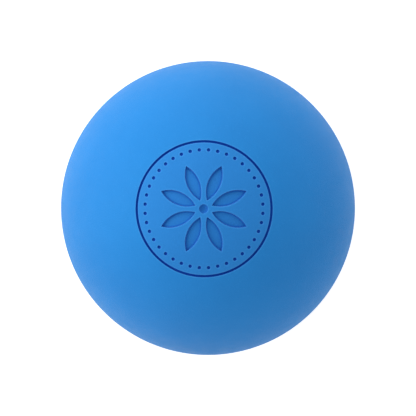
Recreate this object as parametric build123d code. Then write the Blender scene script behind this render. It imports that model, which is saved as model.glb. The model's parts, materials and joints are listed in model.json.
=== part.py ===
from build123d import *
from math import asin, degrees
import os

# A solid rubber lacrosse ball: a dense core inside two moulded half covers that are bonded
# to it and to each other. Nothing in it is hollow and nothing moves.
# The origin is the ball's centre. +Z runs through the middle of the debossed roundel on the
# upper cover, which is the way the mould opens, and the mould's parting plane is the XY plane.
# Sizes are in millimetres.

# The ball and its layers
BALL_DIAMETER = 63.0
COVER_THICKNESS = 6.0

# The hairline that the two covers leave where they meet at the parting plane
SEAM_WIDTH = 0.30
SEAM_DEPTH = 0.12

# The round-bottomed ring groove, measured across the middle of the line
RING_DIAMETER = 27.0
RING_WIDTH = 0.50
RING_DEPTH = 0.42

# The circle of round dimples just inside the ring
BEAD_COUNT = 40
BEAD_DIAMETER = 0.70
BEAD_DEPTH = 0.30
BEAD_MARGIN = 1.70

# The rosette of pointed petals in the middle, with a round dimple at its heart
PETAL_COUNT = 8
PETAL_WIDTH = 2.60
PETAL_DEPTH = 0.55
PETAL_MARGIN = 2.60
HEART_DIAMETER = 1.80
HEART_DEPTH = 0.50
HEART_GAP = 0.90

# How far a cutting shape stands proud of the surface that it cuts
CUT_OVERSHOOT = 1.0

ball_radius = BALL_DIAMETER / 2
core_radius = ball_radius - COVER_THICKNESS
ring_radius = RING_DIAMETER / 2
bead_circle_radius = ring_radius - BEAD_MARGIN
petal_tip_radius = bead_circle_radius - PETAL_MARGIN
petal_root_radius = HEART_DIAMETER / 2 + HEART_GAP


def off_axis_angle(radius):
    """Angle at the ball's centre between +Z and a circle of this radius on the surface, in degrees."""
    return degrees(asin(radius / ball_radius))


def dimple(mouth, depth):
    """A ball centred above the origin that sinks a dimple of this mouth and depth into the XY plane."""
    tool_radius = (mouth**2 / 4 + depth**2) / (2 * depth)
    return Pos(Z=tool_radius - depth) * Sphere(tool_radius)


def round_the_axis(tool, count):
    """Evenly spaced copies of a cutting shape about +Z, the first half a pitch past +X."""
    pitch = 360 / count
    return [Rot(Z=pitch / 2 + pitch * k) * tool for k in range(count)]


def rubber_core():
    """The solid middle, which fills the covers and is bonded to them all over."""
    return Sphere(core_radius)


def cover_half(side):
    """Half of the skin round the core, above or below the parting plane."""
    skin = Sphere(ball_radius) - Sphere(core_radius)
    return split(skin, bisect_by=Plane.XY, keep=side) - seam_groove()


def seam_groove():
    """A shallow V round the parting plane, of which each cover's rim takes half."""
    mouth_radius = ball_radius + CUT_OVERSHOOT
    mouth_half = SEAM_WIDTH / 2 * (SEAM_DEPTH + CUT_OVERSHOOT) / SEAM_DEPTH
    section = Polyline(
        (ball_radius - SEAM_DEPTH, 0),
        (mouth_radius, mouth_half),
        (mouth_radius, -mouth_half),
        close=True,
    )
    return revolve(Plane.XZ * make_face(section), Axis.Z)


def ring_groove():
    """The ring line: a slot section square to the surface, turned about +Z."""
    angle = off_axis_angle(ring_radius)
    section = SlotOverall(RING_DEPTH + CUT_OVERSHOOT, RING_WIDTH)
    middle = ball_radius + (CUT_OVERSHOOT - RING_DEPTH) / 2
    return revolve(Plane.XZ * Rot(Z=90 - angle) * Pos(X=middle) * section, Axis.Z)


def bead_dimples():
    """The circle of dimples, each square to the surface."""
    on_surface = Rot(Y=off_axis_angle(bead_circle_radius)) * Pos(Z=ball_radius)
    return round_the_axis(on_surface * dimple(BEAD_DIAMETER, BEAD_DEPTH), BEAD_COUNT)


def heart_dimple():
    """The dimple on +Z, at the middle of the rosette."""
    return Pos(Z=ball_radius) * dimple(HEART_DIAMETER, HEART_DEPTH)


def petal_cuts():
    """The petals: walls along the way the mould opens, and a floor that follows the ball."""
    root = (petal_root_radius, 0)
    tip = (petal_tip_radius, 0)
    belly = (petal_root_radius + petal_tip_radius) / 2
    left_side = ThreePointArc(root, (belly, PETAL_WIDTH / 2), tip)
    right_side = ThreePointArc(tip, (belly, -PETAL_WIDTH / 2), root)
    post = extrude(make_face(left_side + right_side), ball_radius + CUT_OVERSHOOT)
    petal = post - Sphere(ball_radius - PETAL_DEPTH)
    return round_the_axis(petal, PETAL_COUNT)


def upper_cover():
    """The half that carries the roundel."""
    roundel = [ring_groove(), heart_dimple(), *bead_dimples(), *petal_cuts()]
    return cover_half(Keep.TOP) - roundel


def lower_cover():
    """The plain half."""
    return cover_half(Keep.BOTTOM)


pieces = {
    "rubber_core": rubber_core(),
    "upper_cover": upper_cover(),
    "lower_cover": lower_cover(),
}

os.makedirs("parts", exist_ok=True)
for name, piece in pieces.items():
    export_step(piece, f"parts/{name}.step")
    print(name, "solids", len(piece.solids()), "volume", round(piece.volume, 1), "mm3")
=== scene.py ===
# %% [markdown]
# # Dressing a rubber lacrosse ball
#
# This lacrosse ball is a heavy lump of rubber, built as a dense core inside two blue half covers that
# are bonded to it and to each other. The pieces and their sizes come from a packed model, which is
# loaded first and never moved. Blender adds what the eye sees: the soft edges of the pressed-in marks,
# the finish of the rubber, the light and the camera. The Standard view shows colours as they are written.

# %% Load the packed ball
import json
import math

import bmesh
import bpy
from mathutils import Matrix, Vector, noise
from mathutils.geometry import delaunay_2d_cdt


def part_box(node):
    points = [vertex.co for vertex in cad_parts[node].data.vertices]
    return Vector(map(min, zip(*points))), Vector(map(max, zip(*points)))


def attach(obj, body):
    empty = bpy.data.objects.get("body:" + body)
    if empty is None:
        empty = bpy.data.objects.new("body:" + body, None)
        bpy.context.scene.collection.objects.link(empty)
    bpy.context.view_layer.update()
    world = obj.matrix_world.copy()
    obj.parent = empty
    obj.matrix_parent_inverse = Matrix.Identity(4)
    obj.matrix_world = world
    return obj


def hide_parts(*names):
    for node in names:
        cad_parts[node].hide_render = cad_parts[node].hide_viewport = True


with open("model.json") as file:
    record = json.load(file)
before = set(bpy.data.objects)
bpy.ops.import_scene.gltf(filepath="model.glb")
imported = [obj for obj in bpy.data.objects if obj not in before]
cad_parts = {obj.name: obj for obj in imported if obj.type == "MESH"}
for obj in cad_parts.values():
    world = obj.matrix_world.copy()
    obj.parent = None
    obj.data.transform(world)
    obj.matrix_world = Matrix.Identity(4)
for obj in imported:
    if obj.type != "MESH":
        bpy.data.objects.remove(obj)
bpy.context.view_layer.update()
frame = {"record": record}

studio = bpy.context.scene
studio.view_settings.view_transform = "Standard"

# %% [markdown]
# ## Sizes
#
# The record gives the ball's radius, in millimetres, with the seat that it rests in, and the core's box
# gives the core's, in metres. Both could be typed in again, but a size that is read stays in step with
# the model. The ball is drawn in millimetres, because every mark is a fraction of a millimetre deep and
# reads better that way. Points become metres when they are laid on the ball, and the studio round it is
# given in metres.

# %% Read the ball's sizes
MM = 0.001
ball_radius = frame["record"]["mounts"][0]["dims"]["r_mm"]
core_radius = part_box("rubber_core")[1].z / MM
cover_thickness = ball_radius - core_radius
quarter_arc = ball_radius * math.pi / 2
print(f"ball radius {ball_radius} mm, cover {cover_thickness:.2f} mm thick")

# %% [markdown]
# ## The skin as a flat plan
#
# The marks are easiest to draw on a flat plan, as if the skin had been peeled and pressed flat. A plan
# point's distance from the middle is its distance along the skin from the pole, so a groove that is
# half a millimetre wide on the plan is half a millimetre wide on the ball. One function lays a plan
# point back on the ball, at any depth under the surface.
#
# Boolean cutters and a Bevel modifier could sink the marks too, but on a round surface they leave long
# thin faces that shade badly. A plan keeps each lip even and the mesh closed.

# %% Lay a plan point on the ball
POLE = Vector((0, 0))


def on_ball(point, depth, side):
    """A plan point's place on the ball, in metres, at a depth in mm. Side -1 is the lower half."""
    angle = point.length / ball_radius
    sideways = point.normalized() * math.sin(angle)
    level = (ball_radius - depth) * MM
    return Vector((sideways.x, sideways.y, side * math.cos(angle))) * level


def arc_of(radius):
    """The distance along the skin from the pole to a circle of this radius round the axis."""
    return ball_radius * math.asin(radius / ball_radius)


def circle(radius, count, centre=POLE):
    """Evenly spaced plan points round a centre."""
    turns = [math.tau * k / count for k in range(count)]
    return [centre + radius * Vector((math.cos(turn), math.sin(turn))) for turn in turns]


print("the pole is at", tuple(round(x, 4) for x in on_ball(POLE, 0, 1)))

# %% [markdown]
# ## What a plan holds
#
# A plan is a list of points. Each has a depth, and two values that the rubber's finish reads later:
# painted shade, a navy tint painted where the marks lie deep in shade, and wear, for the paler rubber on
# their lips.
# Both could be painted on by hand, but here they come from the same steps as the shape, so they always
# fit it. Closed loops stay edges in the mesh, so that lips and walls come out crisp.

# %% Define the plan
class Plan:
    """A flat plan of the skin, with loops that stay edges and a border where the rings begin."""

    def __init__(self):
        self.points = []
        self.depths = []
        self.painted_shades = []
        self.wears = []
        self.edges = []
        self.border = None

    def add_dots(self, points, depth=0.0, grime=0.0, wear=0.0):
        """Adds loose points and returns their numbers."""
        first = len(self.points)
        self.points += points
        self.depths += [depth] * len(points)
        self.painted_shades += [grime] * len(points)
        self.wears += [wear] * len(points)
        return range(first, len(self.points))

    def add_loop(self, points, depth=0.0, grime=0.0, wear=0.0):
        """Adds points that are joined in a closed loop, and returns their numbers."""
        loop = self.add_dots(points, depth, grime, wear)
        self.edges += zip(loop, [*loop[1:], loop[0]])
        return loop


roundel = Plan()
plain = Plan()
print("a plan holds", ", ".join(vars(roundel)))

# %% [markdown]
# ## The section of a pressed-in mark
#
# A raised rib in the mould presses each mark into the hot rubber. So every mark has the same section:
# a small round lip, a wall that leans a little, so that the rubber lets go of the mould, and a round
# toe that runs into the floor. The section is a list of steps, and each step becomes one loop. Painted
# shade, a navy tint for the shade inside the mark, grows down the lip from the value on the land beside
# it, and wear fades out there.

# %% Draw the section
LIP_RADIUS = 0.07
SHOULDER = 0.30
QUARTER_STEPS = 4
quarter_turn = [math.pi / 2 * k / QUARTER_STEPS for k in range(QUARTER_STEPS + 1)]


def section(depth, toe_width, toe_height, draft, grime, roundel_tone):
    """Steps of (inset, depth, painted shade, wear), from the land over the lip and down the wall to the
    floor.
    """
    steps = [(-SHOULDER, 0.0, roundel_tone, 0.0)]
    for turn in quarter_turn:
        inset = LIP_RADIUS * (math.sin(turn) - 1)
        share = 1 - math.cos(turn)
        steps.append((inset, LIP_RADIUS * share, roundel_tone + (grime - roundel_tone) * share, 1 - share))
    for turn in quarter_turn:
        inset = draft + toe_width * (1 - math.cos(turn))
        # A wall with no lean starts on the lip's last step, which is there already
        if inset > 0:
            steps.append((inset, depth - toe_height * (1 - math.sin(turn)), grime, 0.0))
    return steps


print("round lips and toes have", QUARTER_STEPS, "steps each")

# %% [markdown]
# ## The ring
#
# A thin groove runs round the roundel. Cutting a torus away would leave its lips sharp, so the ring is
# drawn with the section above, from both sides. Its floor is half round: each toe runs on to the middle
# line, where the two sides meet in one loop. Inside the ring the land is made a little deeper and duller
# than the rest, by a small even value that it holds.

# %% Draw the ring
RING_DIAMETER = 27.0
RING_WIDTH = 0.50
RING_DEPTH = 0.42
RING_DRAFT = 0.03
# The ring's groove is painted navy right through: painted shade for its narrow depth.
RING_PAINTED_SHADE = 1.0
ROUNDEL_TONE = 0.08
ROUND_POINTS = 360
SAME_POINT = 1e-5
ring_arc = arc_of(RING_DIAMETER / 2)
ring_toe = RING_WIDTH / 2 - RING_DRAFT

for way, roundel_tone in ((1, 0.0), (-1, ROUNDEL_TONE)):
    for inset, *values in section(RING_DEPTH, ring_toe, ring_toe, RING_DRAFT, RING_PAINTED_SHADE, roundel_tone):
        from_middle = RING_WIDTH / 2 - inset
        if way > 0 or from_middle > SAME_POINT:
            roundel.add_loop(circle(ring_arc + way * from_middle, ROUND_POINTS), *values)
print("ring loops", len(roundel.points) // ROUND_POINTS)

# %% [markdown]
# ## The beads and the heart
#
# Inside the ring runs a circle of small round dimples, and one larger dimple sits on the pole. A dimple
# has no flat floor: its toe takes up the whole mouth and rises to the lip, so it comes out as a bowl.
# Cutting spheres away would give bowls too, but with no lip to catch the light.

# %% Draw the dimples
BEAD_COUNT = 40
BEAD_DIAMETER = 0.70
BEAD_DEPTH = 0.30
BEAD_MARGIN = 1.70
# Painted shade: the beads are painted fully navy and the heart half navy, for the shade in their bowls.
BEAD_PAINTED_SHADE = 1.0
BEAD_POINTS = 20
HEART_DIAMETER = 1.80
HEART_DEPTH = 0.50
HEART_PAINTED_SHADE = 0.5
HEART_POINTS = 48
bead_circle_radius = RING_DIAMETER / 2 - BEAD_MARGIN
bead_arc = arc_of(bead_circle_radius)


def draw_dimple(centre, mouth, depth, grime, count):
    """Adds the loops of one bowl, and a dot at its bottom."""
    for inset, *values in section(depth, mouth / 2, depth - LIP_RADIUS, 0.0, grime, ROUNDEL_TONE):
        radius = mouth / 2 - inset
        if radius > SAME_POINT:
            roundel.add_loop(circle(radius, count, centre), *values)
        else:
            roundel.add_dots([centre], *values)


draw_dimple(POLE, HEART_DIAMETER, HEART_DEPTH, HEART_PAINTED_SHADE, HEART_POINTS)
for k in range(BEAD_COUNT):
    turn = math.tau * (k + 0.5) / BEAD_COUNT
    middle = bead_arc * Vector((math.cos(turn), math.sin(turn)))
    draw_dimple(middle, BEAD_DIAMETER, BEAD_DEPTH, BEAD_PAINTED_SHADE, BEAD_POINTS)
print("points so far", len(roundel.points))

# %% [markdown]
# ## The petals
#
# Eight pointed petals fan out round the heart. A petal is the overlap of two discs, so its outline is
# two arcs, and shrinking both discs draws the outline in by the same step all round. Scaling the outline
# down instead would leave wide walls at the tips and narrow ones at the sides. The wide floors lie open
# to the light, so they get less painted shade than the narrow marks. The walls lie in shade and get more.

# %% Work out the two discs of a petal
PETAL_COUNT = 8
PETAL_WIDTH = 2.60
PETAL_MARGIN = 2.60
HEART_GAP = 0.90
petal_pitch = math.tau / PETAL_COUNT
petal_root = arc_of(HEART_DIAMETER / 2 + HEART_GAP)
petal_tip = arc_of(bead_circle_radius - PETAL_MARGIN)
petal_middle = (petal_root + petal_tip) / 2
half_length = (petal_tip - petal_root) / 2
half_width = PETAL_WIDTH / 2
disc_radius = (half_length**2 + half_width**2) / (2 * half_width)
disc_offset = disc_radius - half_width
print(f"petals {2 * half_length:.2f} mm long, discs of radius {disc_radius:.2f} mm")

# %% Draw the petals
PETAL_DEPTH = 0.55
PETAL_TOE = 0.12
PETAL_DRAFT = 0.05
# Painted shade: navy on the walls, which lie in shade, and less on the open floors.
PETAL_WALL_PAINTED_SHADE = 0.60
PETAL_FLOOR_PAINTED_SHADE = 0.24
PETAL_POINTS = 40
FLOOR_STEP = 0.28


def petal_outline(inset, turn):
    """One petal's outline, drawn in by an inset and turned about the pole."""
    radius = disc_radius - inset
    reach = math.acos(disc_offset / radius)
    sweep = [reach * (2 * k / PETAL_POINTS - 1) for k in range(PETAL_POINTS)]
    left = [Vector((radius * math.sin(angle), radius * math.cos(angle) - disc_offset)) for angle in sweep]
    right = [-point for point in left]
    place = Matrix.Rotation(turn, 2)
    return [place @ (point + Vector((petal_middle, 0))) for point in left + right]


petal_steps = section(PETAL_DEPTH, PETAL_TOE, PETAL_TOE, PETAL_DRAFT, PETAL_WALL_PAINTED_SHADE, ROUNDEL_TONE)
floor_inset = petal_steps[-1][0] + FLOOR_STEP
while floor_inset < half_width - FLOOR_STEP / 2:
    petal_steps.append((floor_inset, PETAL_DEPTH, PETAL_FLOOR_PAINTED_SHADE, 0.0))
    floor_inset += FLOOR_STEP
for k in range(PETAL_COUNT):
    for inset, *values in petal_steps:
        roundel.add_loop(petal_outline(inset, (k + 0.5) * petal_pitch), *values)
print("petal loops", len(petal_steps), "points so far", len(roundel.points))

# %% [markdown]
# ## The land between the marks
#
# The plain skin between the marks needs points of its own, or its triangles would be long and cut
# across the curve of the ball. A grid of dots fills it, leaving out those that come near a mark.

# %% Fill the land
LAND_STEP = 0.70
PLAN_EDGE = 16.0
KEEP_OFF = 0.50


def clear_of_marks(point):
    """True if a plan point lies on plain skin, away from every mark."""
    arc = point.length
    turn = math.atan2(point.y, point.x) % petal_pitch - petal_pitch / 2
    on_petal = Vector((arc * math.cos(turn) - petal_middle, arc * math.sin(turn)))
    gaps = [
        abs(arc - ring_arc) - RING_WIDTH / 2,
        abs(arc - bead_arc) - BEAD_DIAMETER / 2,
        arc - HEART_DIAMETER / 2,
        max((on_petal - Vector((0, way * disc_offset))).length for way in (1, -1)) - disc_radius,
    ]
    return min(gaps) > KEEP_OFF


def land_grid():
    """Dots in staggered rows over the whole plan, short of its edge."""
    row_step = LAND_STEP * math.sqrt(3) / 2
    rows = int(PLAN_EDGE / row_step)
    columns = int(PLAN_EDGE / LAND_STEP) + 1
    dots = []
    for row in range(-rows, rows + 1):
        shift = LAND_STEP / 2 * (row % 2)
        for column in range(-columns, columns + 1):
            dots.append(Vector((column * LAND_STEP + shift, row * row_step)))
    return [dot for dot in dots if dot.length < PLAN_EDGE - LAND_STEP / 2]


land = [dot for dot in land_grid() if clear_of_marks(dot)]
# The land inside the ring holds a small even value that makes it a little deeper and duller.
roundel.add_dots([dot for dot in land if dot.length < ring_arc], grime=ROUNDEL_TONE)
roundel.add_dots([dot for dot in land if dot.length > ring_arc])
plain.add_dots(land_grid())
for plan in (roundel, plain):
    plan.border = plan.add_loop(circle(PLAN_EDGE, ROUND_POINTS))
print("roundel plan", len(roundel.points), "points, plain plan", len(plain.points))

# %% [markdown]
# ## Caps and rings
#
# Each cover is a closed shell. Spinning a section about the axis would do for a plain half, but the
# petals and beads aren't turned shapes. So the outside starts with a plan, laid over the pole as a cap,
# and goes on as rings down to the seam. The flat parting face, more rings inside and a plain cap against
# the core close it. Blender's constrained Delaunay triangulation turns a plan into a cap: it keeps every
# loop as edges and fills the land with well-shaped triangles.

# %% Lay caps and rings
def lay_cap(mesh, plan, depth, side):
    """Triangulates a plan, lays it over a pole and returns its border."""
    points, _, triangles, sources, _, _ = delaunay_2d_cdt(plan.points, plan.edges, [], 0, SAME_POINT)
    grime = mesh.verts.layers.float["grime"]
    wear = mesh.verts.layers.float["wear"]
    verts = []
    placed = {}
    for point, group in zip(points, sources):
        vert = mesh.verts.new(on_ball(point, depth + plan.depths[group[0]], side))
        vert[grime] = plan.painted_shades[group[0]]
        vert[wear] = plan.wears[group[0]]
        verts.append(vert)
        placed.update(dict.fromkeys(group, vert))
    for triangle in triangles:
        mesh.faces.new([verts[number] for number in triangle])
    return [placed[number] for number in plan.border]


def lay_ring(mesh, arc, depths, worn, side):
    """Adds one ring of points at a distance from the pole, each at its own depth."""
    wear = mesh.verts.layers.float["wear"]
    ring = []
    for point, depth in zip(circle(arc, ROUND_POINTS), depths):
        vert = mesh.verts.new(on_ball(point, depth, side))
        vert[wear] = worn
        ring.append(vert)
    return ring


def bridge(mesh, rings):
    """Joins each ring to the next with four-sided faces."""
    for upper, lower in zip(rings, rings[1:]):
        for k in range(ROUND_POINTS):
            mesh.faces.new([upper[k - 1], upper[k], lower[k], lower[k - 1]])


print("rings of", ROUND_POINTS, "points,", round(math.tau * ball_radius / ROUND_POINTS, 2), "mm apart")

# %% [markdown]
# ## The seam
#
# Where the halves of the mould meet, a thin flash of rubber squeezes out. It is trimmed and buffed by
# hand, so the hairline that stays wanders a little in depth, and the rubber beside it is worn. A V of
# one depth all round would look machined, so smooth noise varies it. The noise is read along a circle,
# so that it ends where it began.

# %% Trim the seam
SEAM_REACH = 0.30
SEAM_DEPTH = 0.12
SEAM_STEPS = 6
SEAM_WANDER = 0.35
WANDER_CIRCLE = 4.0
SEAM_WEAR = 0.6
BUFFED_WIDTH = 1.10
seam_heights = [SEAM_REACH * (1 - k / SEAM_STEPS) for k in range(1, SEAM_STEPS + 1)]
wander = [noise.noise(point.to_3d()) for point in circle(WANDER_CIRCLE, ROUND_POINTS)]


def seam_depths(height):
    """The trimmed hairline's depth round the ball, at a height from the parting plane."""
    share = 1 - height / SEAM_REACH
    return [SEAM_DEPTH * share**3 * (1 + SEAM_WANDER * drift) for drift in wander]


def seam_wear(arc):
    """How worn the skin is at a distance from the pole: most at the seam, fading out beside it."""
    return SEAM_WEAR * max(0.0, 1 - (quarter_arc - arc) / BUFFED_WIDTH)


print(f"seam {min(seam_depths(0)):.3f} to {max(seam_depths(0)):.3f} mm deep")

# %% [markdown]
# ## A flat map of the skin
#
# Whoever bakes the finish into pictures needs a flat map of each cover. Smart UV Project would cut the
# round skin into many islands, with a seam round each. The plan is a flat map already, so the whole
# outside becomes one uncut disc. The inside and the parting face, which nobody sees, take two corners
# that the disc leaves free.

# %% Unwrap a cover
MAP_NAME = "OFBake"
MARK_LIMIT = 1.0
SKIN_PATCH = (Vector((0.5, 0.5)), 0.49)
INSIDE_PATCH = (Vector((0.08, 0.08)), 0.07)
PARTING_PATCH = (Vector((0.92, 0.08)), 0.07)


def reach_on_map(place, side, on_parting_face):
    """How far out a point goes on its patch of the map, from 0 in the middle to 1 at the rim."""
    sideways = place.xy.length
    if on_parting_face:
        return sideways / (ball_radius * MM)
    return math.atan2(sideways, side * place.z) / (math.pi / 2)


def unwrap(mesh, side):
    """Maps each face flat, on the patch of the skin, of the inside or of the parting face."""
    layer = mesh.loops.layers.uv.new(MAP_NAME)
    for face in mesh.faces:
        levels = [vert.co.length / MM for vert in face.verts]
        on_skin = min(levels) > ball_radius - MARK_LIMIT
        on_core = max(levels) < core_radius + MARK_LIMIT
        middle, size = SKIN_PATCH if on_skin else INSIDE_PATCH if on_core else PARTING_PATCH
        for corner in face.loops:
            place = corner.vert.co
            reach = reach_on_map(place, side, not (on_skin or on_core))
            bearing = Vector((side * place.x, place.y)).normalized()
            corner[layer].uv = middle + bearing * (size * reach)


print("the skin's disc is", 2 * SKIN_PATCH[1], "of the map across")

# %% [markdown]
# ## The two covers
#
# Now the helpers come together. A Mirror modifier could make one cover from the other, but only one has
# the roundel. So one function makes both, and only their plan and their side differ. Smooth shading
# rounds the small facets off, and edges that turn sharply stay crisp.

# %% Turn a mesh into a piece
SHARP_ANGLE = math.radians(40)


def make_piece(name, mesh):
    """An object with smooth faces and crisp edges, from a mesh that is done."""
    bmesh.ops.recalc_face_normals(mesh, faces=mesh.faces)
    for edge in mesh.edges:
        edge.smooth = edge.calc_face_angle(0) < SHARP_ANGLE
    for face in mesh.faces:
        face.smooth = True
    data = bpy.data.meshes.new(name)
    mesh.to_mesh(data)
    mesh.free()
    piece = bpy.data.objects.new(name, data)
    studio.collection.objects.link(piece)
    triangles = sum(len(face.vertices) - 2 for face in data.polygons)
    print(name, len(data.vertices), "points", triangles, "triangles")
    return piece


print("edges that turn by", round(math.degrees(SHARP_ANGLE)), "degrees or more stay crisp")

# %% Make both covers
RING_STEP = 0.80
seam_arc = quarter_arc - SEAM_REACH
ring_count = math.ceil((seam_arc - PLAN_EDGE) / RING_STEP)
skin_arcs = [PLAN_EDGE + (seam_arc - PLAN_EDGE) * k / ring_count for k in range(1, ring_count + 1)]


def half_cover(name, plan, side):
    """One closed half of the skin, with its own plan over the pole."""
    mesh = bmesh.new()
    # Each point holds its painted shade, the navy tint for shade in the marks, and its wear.
    mesh.verts.layers.float.new("grime")
    mesh.verts.layers.float.new("wear")
    outside = [0.0] * ROUND_POINTS
    inside = [cover_thickness] * ROUND_POINTS
    rings = [lay_cap(mesh, plan, 0.0, side)]
    for arc in skin_arcs:
        rings.append(lay_ring(mesh, arc, outside, seam_wear(arc), side))
    for height in seam_heights:
        arc = quarter_arc - height
        rings.append(lay_ring(mesh, arc, seam_depths(height), seam_wear(arc), side))
    for arc in [quarter_arc, *reversed(skin_arcs)]:
        rings.append(lay_ring(mesh, arc, inside, 0.0, side))
    rings.append(lay_cap(mesh, plain, cover_thickness, side))
    bridge(mesh, rings)
    unwrap(mesh, side)
    return make_piece(name, mesh)


upper_cover = half_cover("upper_cover_skin", roundel, 1)
lower_cover = half_cover("lower_cover_skin", plain, -1)
for cover, node in ((upper_cover, "upper_cover"), (lower_cover, "lower_cover")):
    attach(cover, "root")
    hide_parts(node)

# %% [markdown]
# ## The core
#
# Nobody sees the core in a whole ball, so its skin is a guess: roughened with a wire wheel, so that the
# covers bond to it. A UV Sphere would crowd thin faces at two poles, so this starts as an icosphere,
# whose triangles are nearly alike. Noise then draws each point in by a few hundredths of a millimetre,
# and never pushes one out into the covers.

# %% Make the core
CORE_SUBDIVISIONS = 6
ROUGHENED_DEPTH = 0.06
ROUGHENED_SCALE = 0.4


def roughened_core(name):
    """The dark ball inside the covers."""
    mesh = bmesh.new()
    bmesh.ops.create_icosphere(mesh, subdivisions=CORE_SUBDIVISIONS, radius=core_radius)
    for vert in mesh.verts:
        drawn_in = ROUGHENED_DEPTH * (1 + noise.noise(vert.co * ROUGHENED_SCALE)) / 2
        vert.co *= (1 - drawn_in / core_radius) * MM
    return make_piece(name, mesh)


core = roughened_core("core_ball")
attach(core, "root")
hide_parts("rubber_core")

# %% [markdown]
# ## Building a finish from nodes
#
# Every finish below is a Principled shader fed by a few nodes. Linking them one by one takes many lines
# that all look alike, so a small class does the adding and the linking. Patterns are laid in the
# object's own space, which needs no map and has no seams. Blender's noise mostly stays between 0.3 and
# 0.7, so each pattern is stretched from a band there to the span that it needs: a wide band gives
# clouds, and a narrow one near the top gives specks.

# %% Define the node helper
class Finish:
    """A material whose nodes are added one by one."""

    def __init__(self, name):
        self.material = bpy.data.materials.new(name)
        self.material.use_nodes = True
        self.tree = self.material.node_tree
        self.surface = self.tree.nodes["Principled BSDF"].inputs
        self.place = self.add("TexCoord").outputs["Object"]

    def feed(self, socket, value):
        """Sets a socket, or links another node's output to it."""
        if isinstance(value, bpy.types.NodeSocket):
            self.tree.links.new(value, socket)
        else:
            socket.default_value = value

    def add(self, kind, **values):
        """Adds a node and feeds its sockets by name."""
        node = self.tree.nodes.new("ShaderNode" + kind)
        for name, value in values.items():
            self.feed(node.inputs[name], value)
        return node

    def mottle(self, scale, detail, roughness=0.5):
        """Cloudy noise from 0 to 1, at a scale per metre."""
        node = self.add("TexNoise", Vector=self.place, Scale=scale, Detail=detail, Roughness=roughness)
        return node.outputs["Fac"]

    def point_value(self, name):
        """A value that the mesh holds at each point."""
        node = self.add("Attribute")
        node.attribute_name = name
        return node.outputs["Fac"]

    def spread(self, value, band, span=(0.0, 1.0)):
        """Stretches a value from a band to a span, and clamps it there."""
        node = self.add("MapRange", Value=value)
        for name, end in zip(("From Min", "From Max", "To Min", "To Max"), (*band, *span)):
            node.inputs[name].default_value = end
        return node.outputs["Result"]

    def combine(self, operation, first, second):
        """One step of arithmetic on two values."""
        node = self.add("Math")
        node.operation = operation
        self.feed(node.inputs[0], first)
        self.feed(node.inputs[1], second)
        return node.outputs[0]

    def mix(self, factor, first, second):
        """Mixes two colours."""
        node = self.add("Mix")
        node.data_type = "RGBA"
        colours = [socket for socket in node.inputs if socket.type == "RGBA"]
        self.feed(node.inputs[0], factor)
        self.feed(colours[0], first)
        self.feed(colours[1], second)
        return next(socket for socket in node.outputs if socket.type == "RGBA")

    def grain(self, height, strength, distance):
        """Raises a grain from a height, up to a distance in metres."""
        bump = self.add("Bump", Height=height, Strength=strength, Distance=distance)
        self.feed(self.surface["Normal"], bump.outputs["Normal"])


print("a finish can", ", ".join(name for name in vars(Finish) if not name.startswith("_")))

# %% [markdown]
# ## Blue rubber
#
# The covers are matte rubber, coloured right through with a bright blue pigment. Seen close, it isn't
# one flat colour: the mix clouds a little from place to place, fine filler shows as specks, and the
# mould's blasted surface leaves a soft grain. A picture of rubber could show that, but it would blur or
# repeat up close, and noise does neither. Worn rubber, on the lips of the marks and where the seam was
# buffed, is paler and rougher. Inside the ring the rubber is made a little deeper and duller. Painted
# shade, a navy tint, darkens the marks where they lie deep in shade. The gloss is kept low and a little
# sheen takes its place, because rubber like this goes milky towards its edge.

# %% Choose the blue rubber's colours and patterns
RUBBER_BLUE = (0.0185, 0.253, 0.695, 1)
RUBBER_DEEP = (0.0175, 0.237, 0.663, 1)
FILLER_PALE = (0.03, 0.29, 0.74, 1)
WORN_PALE = (0.045, 0.31, 0.78, 1)
# The duller colour that the land inside the ring is mixed towards.
ROUNDEL_DULL = (0.078, 0.253, 0.695, 1)
# Painted shade: the navy that the marks are tinted with where they lie deep in shade.
PAINTED_SHADE_NAVY = (0.0004, 0.063, 0.415, 1)
CLOUD_SCALE = 55
CLOUD_BAND = (0.35, 0.65)
SPECK_SCALE = 3400
SPECK_BAND = (0.66, 0.74)
SPECK_SPAN = (0.0, 0.6)
WORN_PATCH_SCALE = 900
WORN_PATCH_BAND = (0.35, 0.65)
WORN_PATCH_SPAN = (0.55, 1.0)
WORN_ADDED_ROUGHNESS = 0.2
ROUNDEL_TONE_BAND = (0.0, ROUNDEL_TONE)
ROUNDEL_TONE_SPAN = (0.0, 0.1)
GLOSS_SCALE = 400
GLOSS_BAND = (0.3, 0.7)
ROUGHNESS_SPAN = (0.55, 0.65)
GRAIN_SCALE = 4200
GRAIN_STRENGTH = 0.7
GRAIN_HEIGHT = 0.12
print(f"clouds {1 / CLOUD_SCALE / MM:.0f} mm wide, grain {1 / GRAIN_SCALE / MM:.2f} mm")

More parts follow.
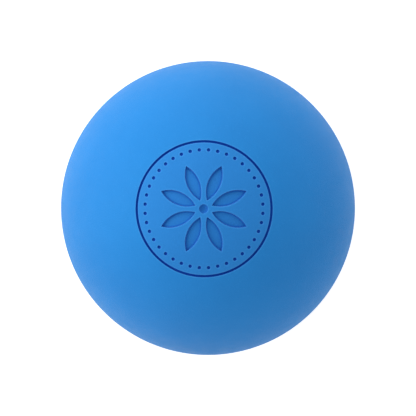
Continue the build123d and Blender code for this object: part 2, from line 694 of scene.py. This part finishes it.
# %% Make the blue rubber
def blue_rubber():
    """The covers' rubber."""
    finish = Finish("blue_rubber")
    clouds = finish.spread(finish.mottle(CLOUD_SCALE, detail=5, roughness=0.65), CLOUD_BAND)
    specks = finish.spread(finish.mottle(SPECK_SCALE, detail=1), SPECK_BAND, SPECK_SPAN)
    patches = finish.spread(finish.mottle(WORN_PATCH_SCALE, detail=3), WORN_PATCH_BAND, WORN_PATCH_SPAN)
    worn = finish.combine("MULTIPLY", finish.point_value("wear"), patches)
    # Painted shade: the navy mix below darkens the marks where they lie in shade. Its lowest band sets the
    # roundel's tone.
    grime = finish.point_value("grime")
    roundel_tone = finish.spread(grime, ROUNDEL_TONE_BAND, ROUNDEL_TONE_SPAN)
    colour = finish.mix(clouds, RUBBER_DEEP, RUBBER_BLUE)
    for share, tint in ((specks, FILLER_PALE), (worn, WORN_PALE), (roundel_tone, ROUNDEL_DULL), (grime, PAINTED_SHADE_NAVY)):
        colour = finish.mix(share, colour, tint)
    finish.feed(finish.surface["Base Color"], colour)
    roughness = finish.spread(finish.mottle(GLOSS_SCALE, detail=4), GLOSS_BAND, ROUGHNESS_SPAN)
    scuffing = finish.combine("MULTIPLY", worn, WORN_ADDED_ROUGHNESS)
    finish.feed(finish.surface["Roughness"], finish.combine("ADD", roughness, scuffing))
    finish.grain(finish.mottle(GRAIN_SCALE, detail=4, roughness=0.6), GRAIN_STRENGTH, GRAIN_HEIGHT * MM)
    finish.surface["IOR"].default_value = 1.40
    finish.surface["Specular IOR Level"].default_value = 0.12
    finish.surface["Sheen Weight"].default_value = 0.09
    finish.surface["Sheen Roughness"].default_value = 0.5
    return finish.material


rubber = blue_rubber()
for cover in (upper_cover, lower_cover):
    cover.data.materials.append(rubber)
print(rubber.name, len(rubber.node_tree.nodes), "nodes")

# %% [markdown]
# ## Core rubber
#
# The core is the same kind of rubber without the pigment: dark grey, with pale specks of filler and
# the coarse grain that the wire wheel leaves. It shows only to someone who takes the covers away. One
# plain grey would do for a hidden piece, but laid bare it would look like a stand-in.

# %% Make the core rubber
CORE_DARK = (0.030, 0.030, 0.034, 1)
CORE_LIGHT = (0.055, 0.054, 0.058, 1)
CORE_SPECK = (0.20, 0.19, 0.18, 1)
CORE_CLOUD_SCALE = 140
CORE_CLOUD_BAND = (0.3, 0.7)
CORE_SPECK_SCALE = 2600
CORE_SPECK_BAND = (0.68, 0.74)
CORE_GLOSS_SCALE = 700
CORE_GLOSS_BAND = (0.3, 0.7)
CORE_ROUGHNESS_SPAN = (0.7, 0.9)
CORE_GRAIN_SCALE = 1500
CORE_GRAIN_STRENGTH = 0.5
CORE_GRAIN_HEIGHT = 0.1


def core_rubber():
    """The dark rubber under the covers."""
    finish = Finish("dark_core_rubber")
    clouds = finish.spread(finish.mottle(CORE_CLOUD_SCALE, detail=4), CORE_CLOUD_BAND)
    specks = finish.spread(finish.mottle(CORE_SPECK_SCALE, detail=1), CORE_SPECK_BAND)
    colour = finish.mix(specks, finish.mix(clouds, CORE_DARK, CORE_LIGHT), CORE_SPECK)
    finish.feed(finish.surface["Base Color"], colour)
    scratches = finish.mottle(CORE_GLOSS_SCALE, detail=3)
    finish.feed(finish.surface["Roughness"], finish.spread(scratches, CORE_GLOSS_BAND, CORE_ROUGHNESS_SPAN))
    finish.grain(finish.mottle(CORE_GRAIN_SCALE, detail=5), CORE_GRAIN_STRENGTH, CORE_GRAIN_HEIGHT * MM)
    return finish.material


core.data.materials.append(core_rubber())
print(core.data.materials[0].name, len(core.data.materials[0].node_tree.nodes), "nodes")

# %% [markdown]
# ## Floor and light
#
# The ball lies on a white table and is seen from above, so its own shadow hides under it. More light
# would turn the table white as well, but it would wash out the ball. Light Path tells rays that show a
# surface from rays that only light one. So the table and the sky look white to the camera and in
# reflections, but throw only ordinary light on the ball, and the table darkens where the ball shades it.

# %% Tell light that is seen from light that falls
def seen_rays(tree):
    """Adds nodes that give 1 for rays that show a surface, and 0 for rays that only light one."""
    path = tree.nodes.new("ShaderNodeLightPath")
    seen = path.outputs["Is Camera Ray"]
    for ray in ("Is Glossy Ray", "Is Transmission Ray"):
        either = tree.nodes.new("ShaderNodeMath")
        either.operation = "MAXIMUM"
        tree.links.new(seen, either.inputs[0])
        tree.links.new(path.outputs[ray], either.inputs[1])
        seen = either.outputs[0]
    return seen


print("seen rays: camera, glossy and transmission")

# %% Lay the floor
FLOOR_HALF = 3.0
FLOOR_WHITE = (0.85, 0.85, 0.85, 1)
FLOOR_PALE = (0.87, 0.87, 0.87, 1)
FLOOR_GLOW = 0.57
FLOOR_CLOUD_SCALE = 6
FLOOR_CLOUD_BAND = (0.3, 0.7)


def white_floor():
    """Matte white that glows only where it is seen."""
    finish = Finish("white_floor")
    clouds = finish.spread(finish.mottle(FLOOR_CLOUD_SCALE, detail=2), FLOOR_CLOUD_BAND)
    finish.feed(finish.surface["Base Color"], finish.mix(clouds, FLOOR_WHITE, FLOOR_PALE))
    glow = finish.combine("MULTIPLY", seen_rays(finish.tree), FLOOR_GLOW)
    finish.feed(finish.surface["Emission Strength"], glow)
    finish.surface["Emission Color"].default_value = (1, 1, 1, 1)
    finish.surface["Roughness"].default_value = 1.0
    finish.surface["Specular IOR Level"].default_value = 0.0
    return finish.material


floor_level = -ball_radius * MM
corners = [(x * FLOOR_HALF, y * FLOOR_HALF, floor_level) for x, y in ((-1, -1), (1, -1), (1, 1), (-1, 1))]
floor_mesh = bpy.data.meshes.new("white_floor")
floor_mesh.from_pydata(corners, [], [(0, 1, 2, 3)])
floor_mesh.materials.append(white_floor())
floor = bpy.data.objects.new("white_floor", floor_mesh)
studio.collection.objects.link(floor)
print("floor at", round(floor_level, 4))

# %% Light the sky
SKY_LIGHT = 0.66
SKY_WHITE = 1.0

world = bpy.data.worlds.new("studio_white")
world.use_nodes = True
studio.world = world
sky = world.node_tree.nodes["Background"]
strength = world.node_tree.nodes.new("ShaderNodeMapRange")
strength.inputs["To Min"].default_value = SKY_LIGHT
strength.inputs["To Max"].default_value = SKY_WHITE
world.node_tree.links.new(seen_rays(world.node_tree), strength.inputs["Value"])
world.node_tree.links.new(strength.outputs["Result"], sky.inputs["Strength"])
sky.inputs["Color"].default_value = (1, 1, 1, 1)
print("sky", SKY_WHITE, "seen,", SKY_LIGHT, "as light")

# %% [markdown]
# ## Softboxes
#
# The photograph is lit from the upper left: the ball is brightest there and falls off gently to the
# lower right. A sun lamp would throw hard shadows into the marks, so two wide softboxes do it, one to
# the left and one at the back, both low over the table. Each is given by its bearing round the ball,
# its height over the table in degrees, and its power in watts.

# %% Light the ball
SOFTBOX_SIZE = 0.45
SOFTBOX_DISTANCE = 0.70
SOFTBOXES = {"left_softbox": (170, 25, 2.5), "back_softbox": (95, 25, 1.5)}

for name, (bearing, height, power) in SOFTBOXES.items():
    softbox = bpy.data.lights.new(name, "AREA")
    softbox.energy = power
    softbox.size = SOFTBOX_SIZE
    lamp = bpy.data.objects.new(name, softbox)
    turn = Matrix.Rotation(math.radians(bearing), 3, "Z") @ Matrix.Rotation(math.radians(-height), 3, "Y")
    lamp.location = turn @ Vector((SOFTBOX_DISTANCE, 0, 0))
    lamp.rotation_euler = (-lamp.location).to_track_quat("-Z", "Y").to_euler()
    studio.collection.objects.link(lamp)
    print(name, "at", tuple(round(x, 2) for x in lamp.location))

# %% [markdown]
# ## Camera
#
# The photograph looks almost straight at the roundel, a degree or two to one side, so the ring sits a
# little left of the ball's middle. A near camera makes the ring large beside the ball's outline, and a
# far one small, so the distance sets how the two compare. The lens then sizes the ball in the frame.

# %% Set the camera
CAMERA_DISTANCE = 0.412
CAMERA_LENS = 165.95
TILT_RIGHT = math.radians(1.57)
TILT_UP = math.radians(0.32)

camera_data = bpy.data.cameras.new("camera")
camera_data.lens = CAMERA_LENS
camera = bpy.data.objects.new("camera", camera_data)
camera.rotation_euler = (-TILT_UP, TILT_RIGHT, 0)
camera.location = camera.rotation_euler.to_matrix() @ Vector((0, 0, CAMERA_DISTANCE))
studio.collection.objects.link(camera)
studio.camera = camera
print("camera at", tuple(round(x, 4) for x in camera.location))

# %% [markdown]
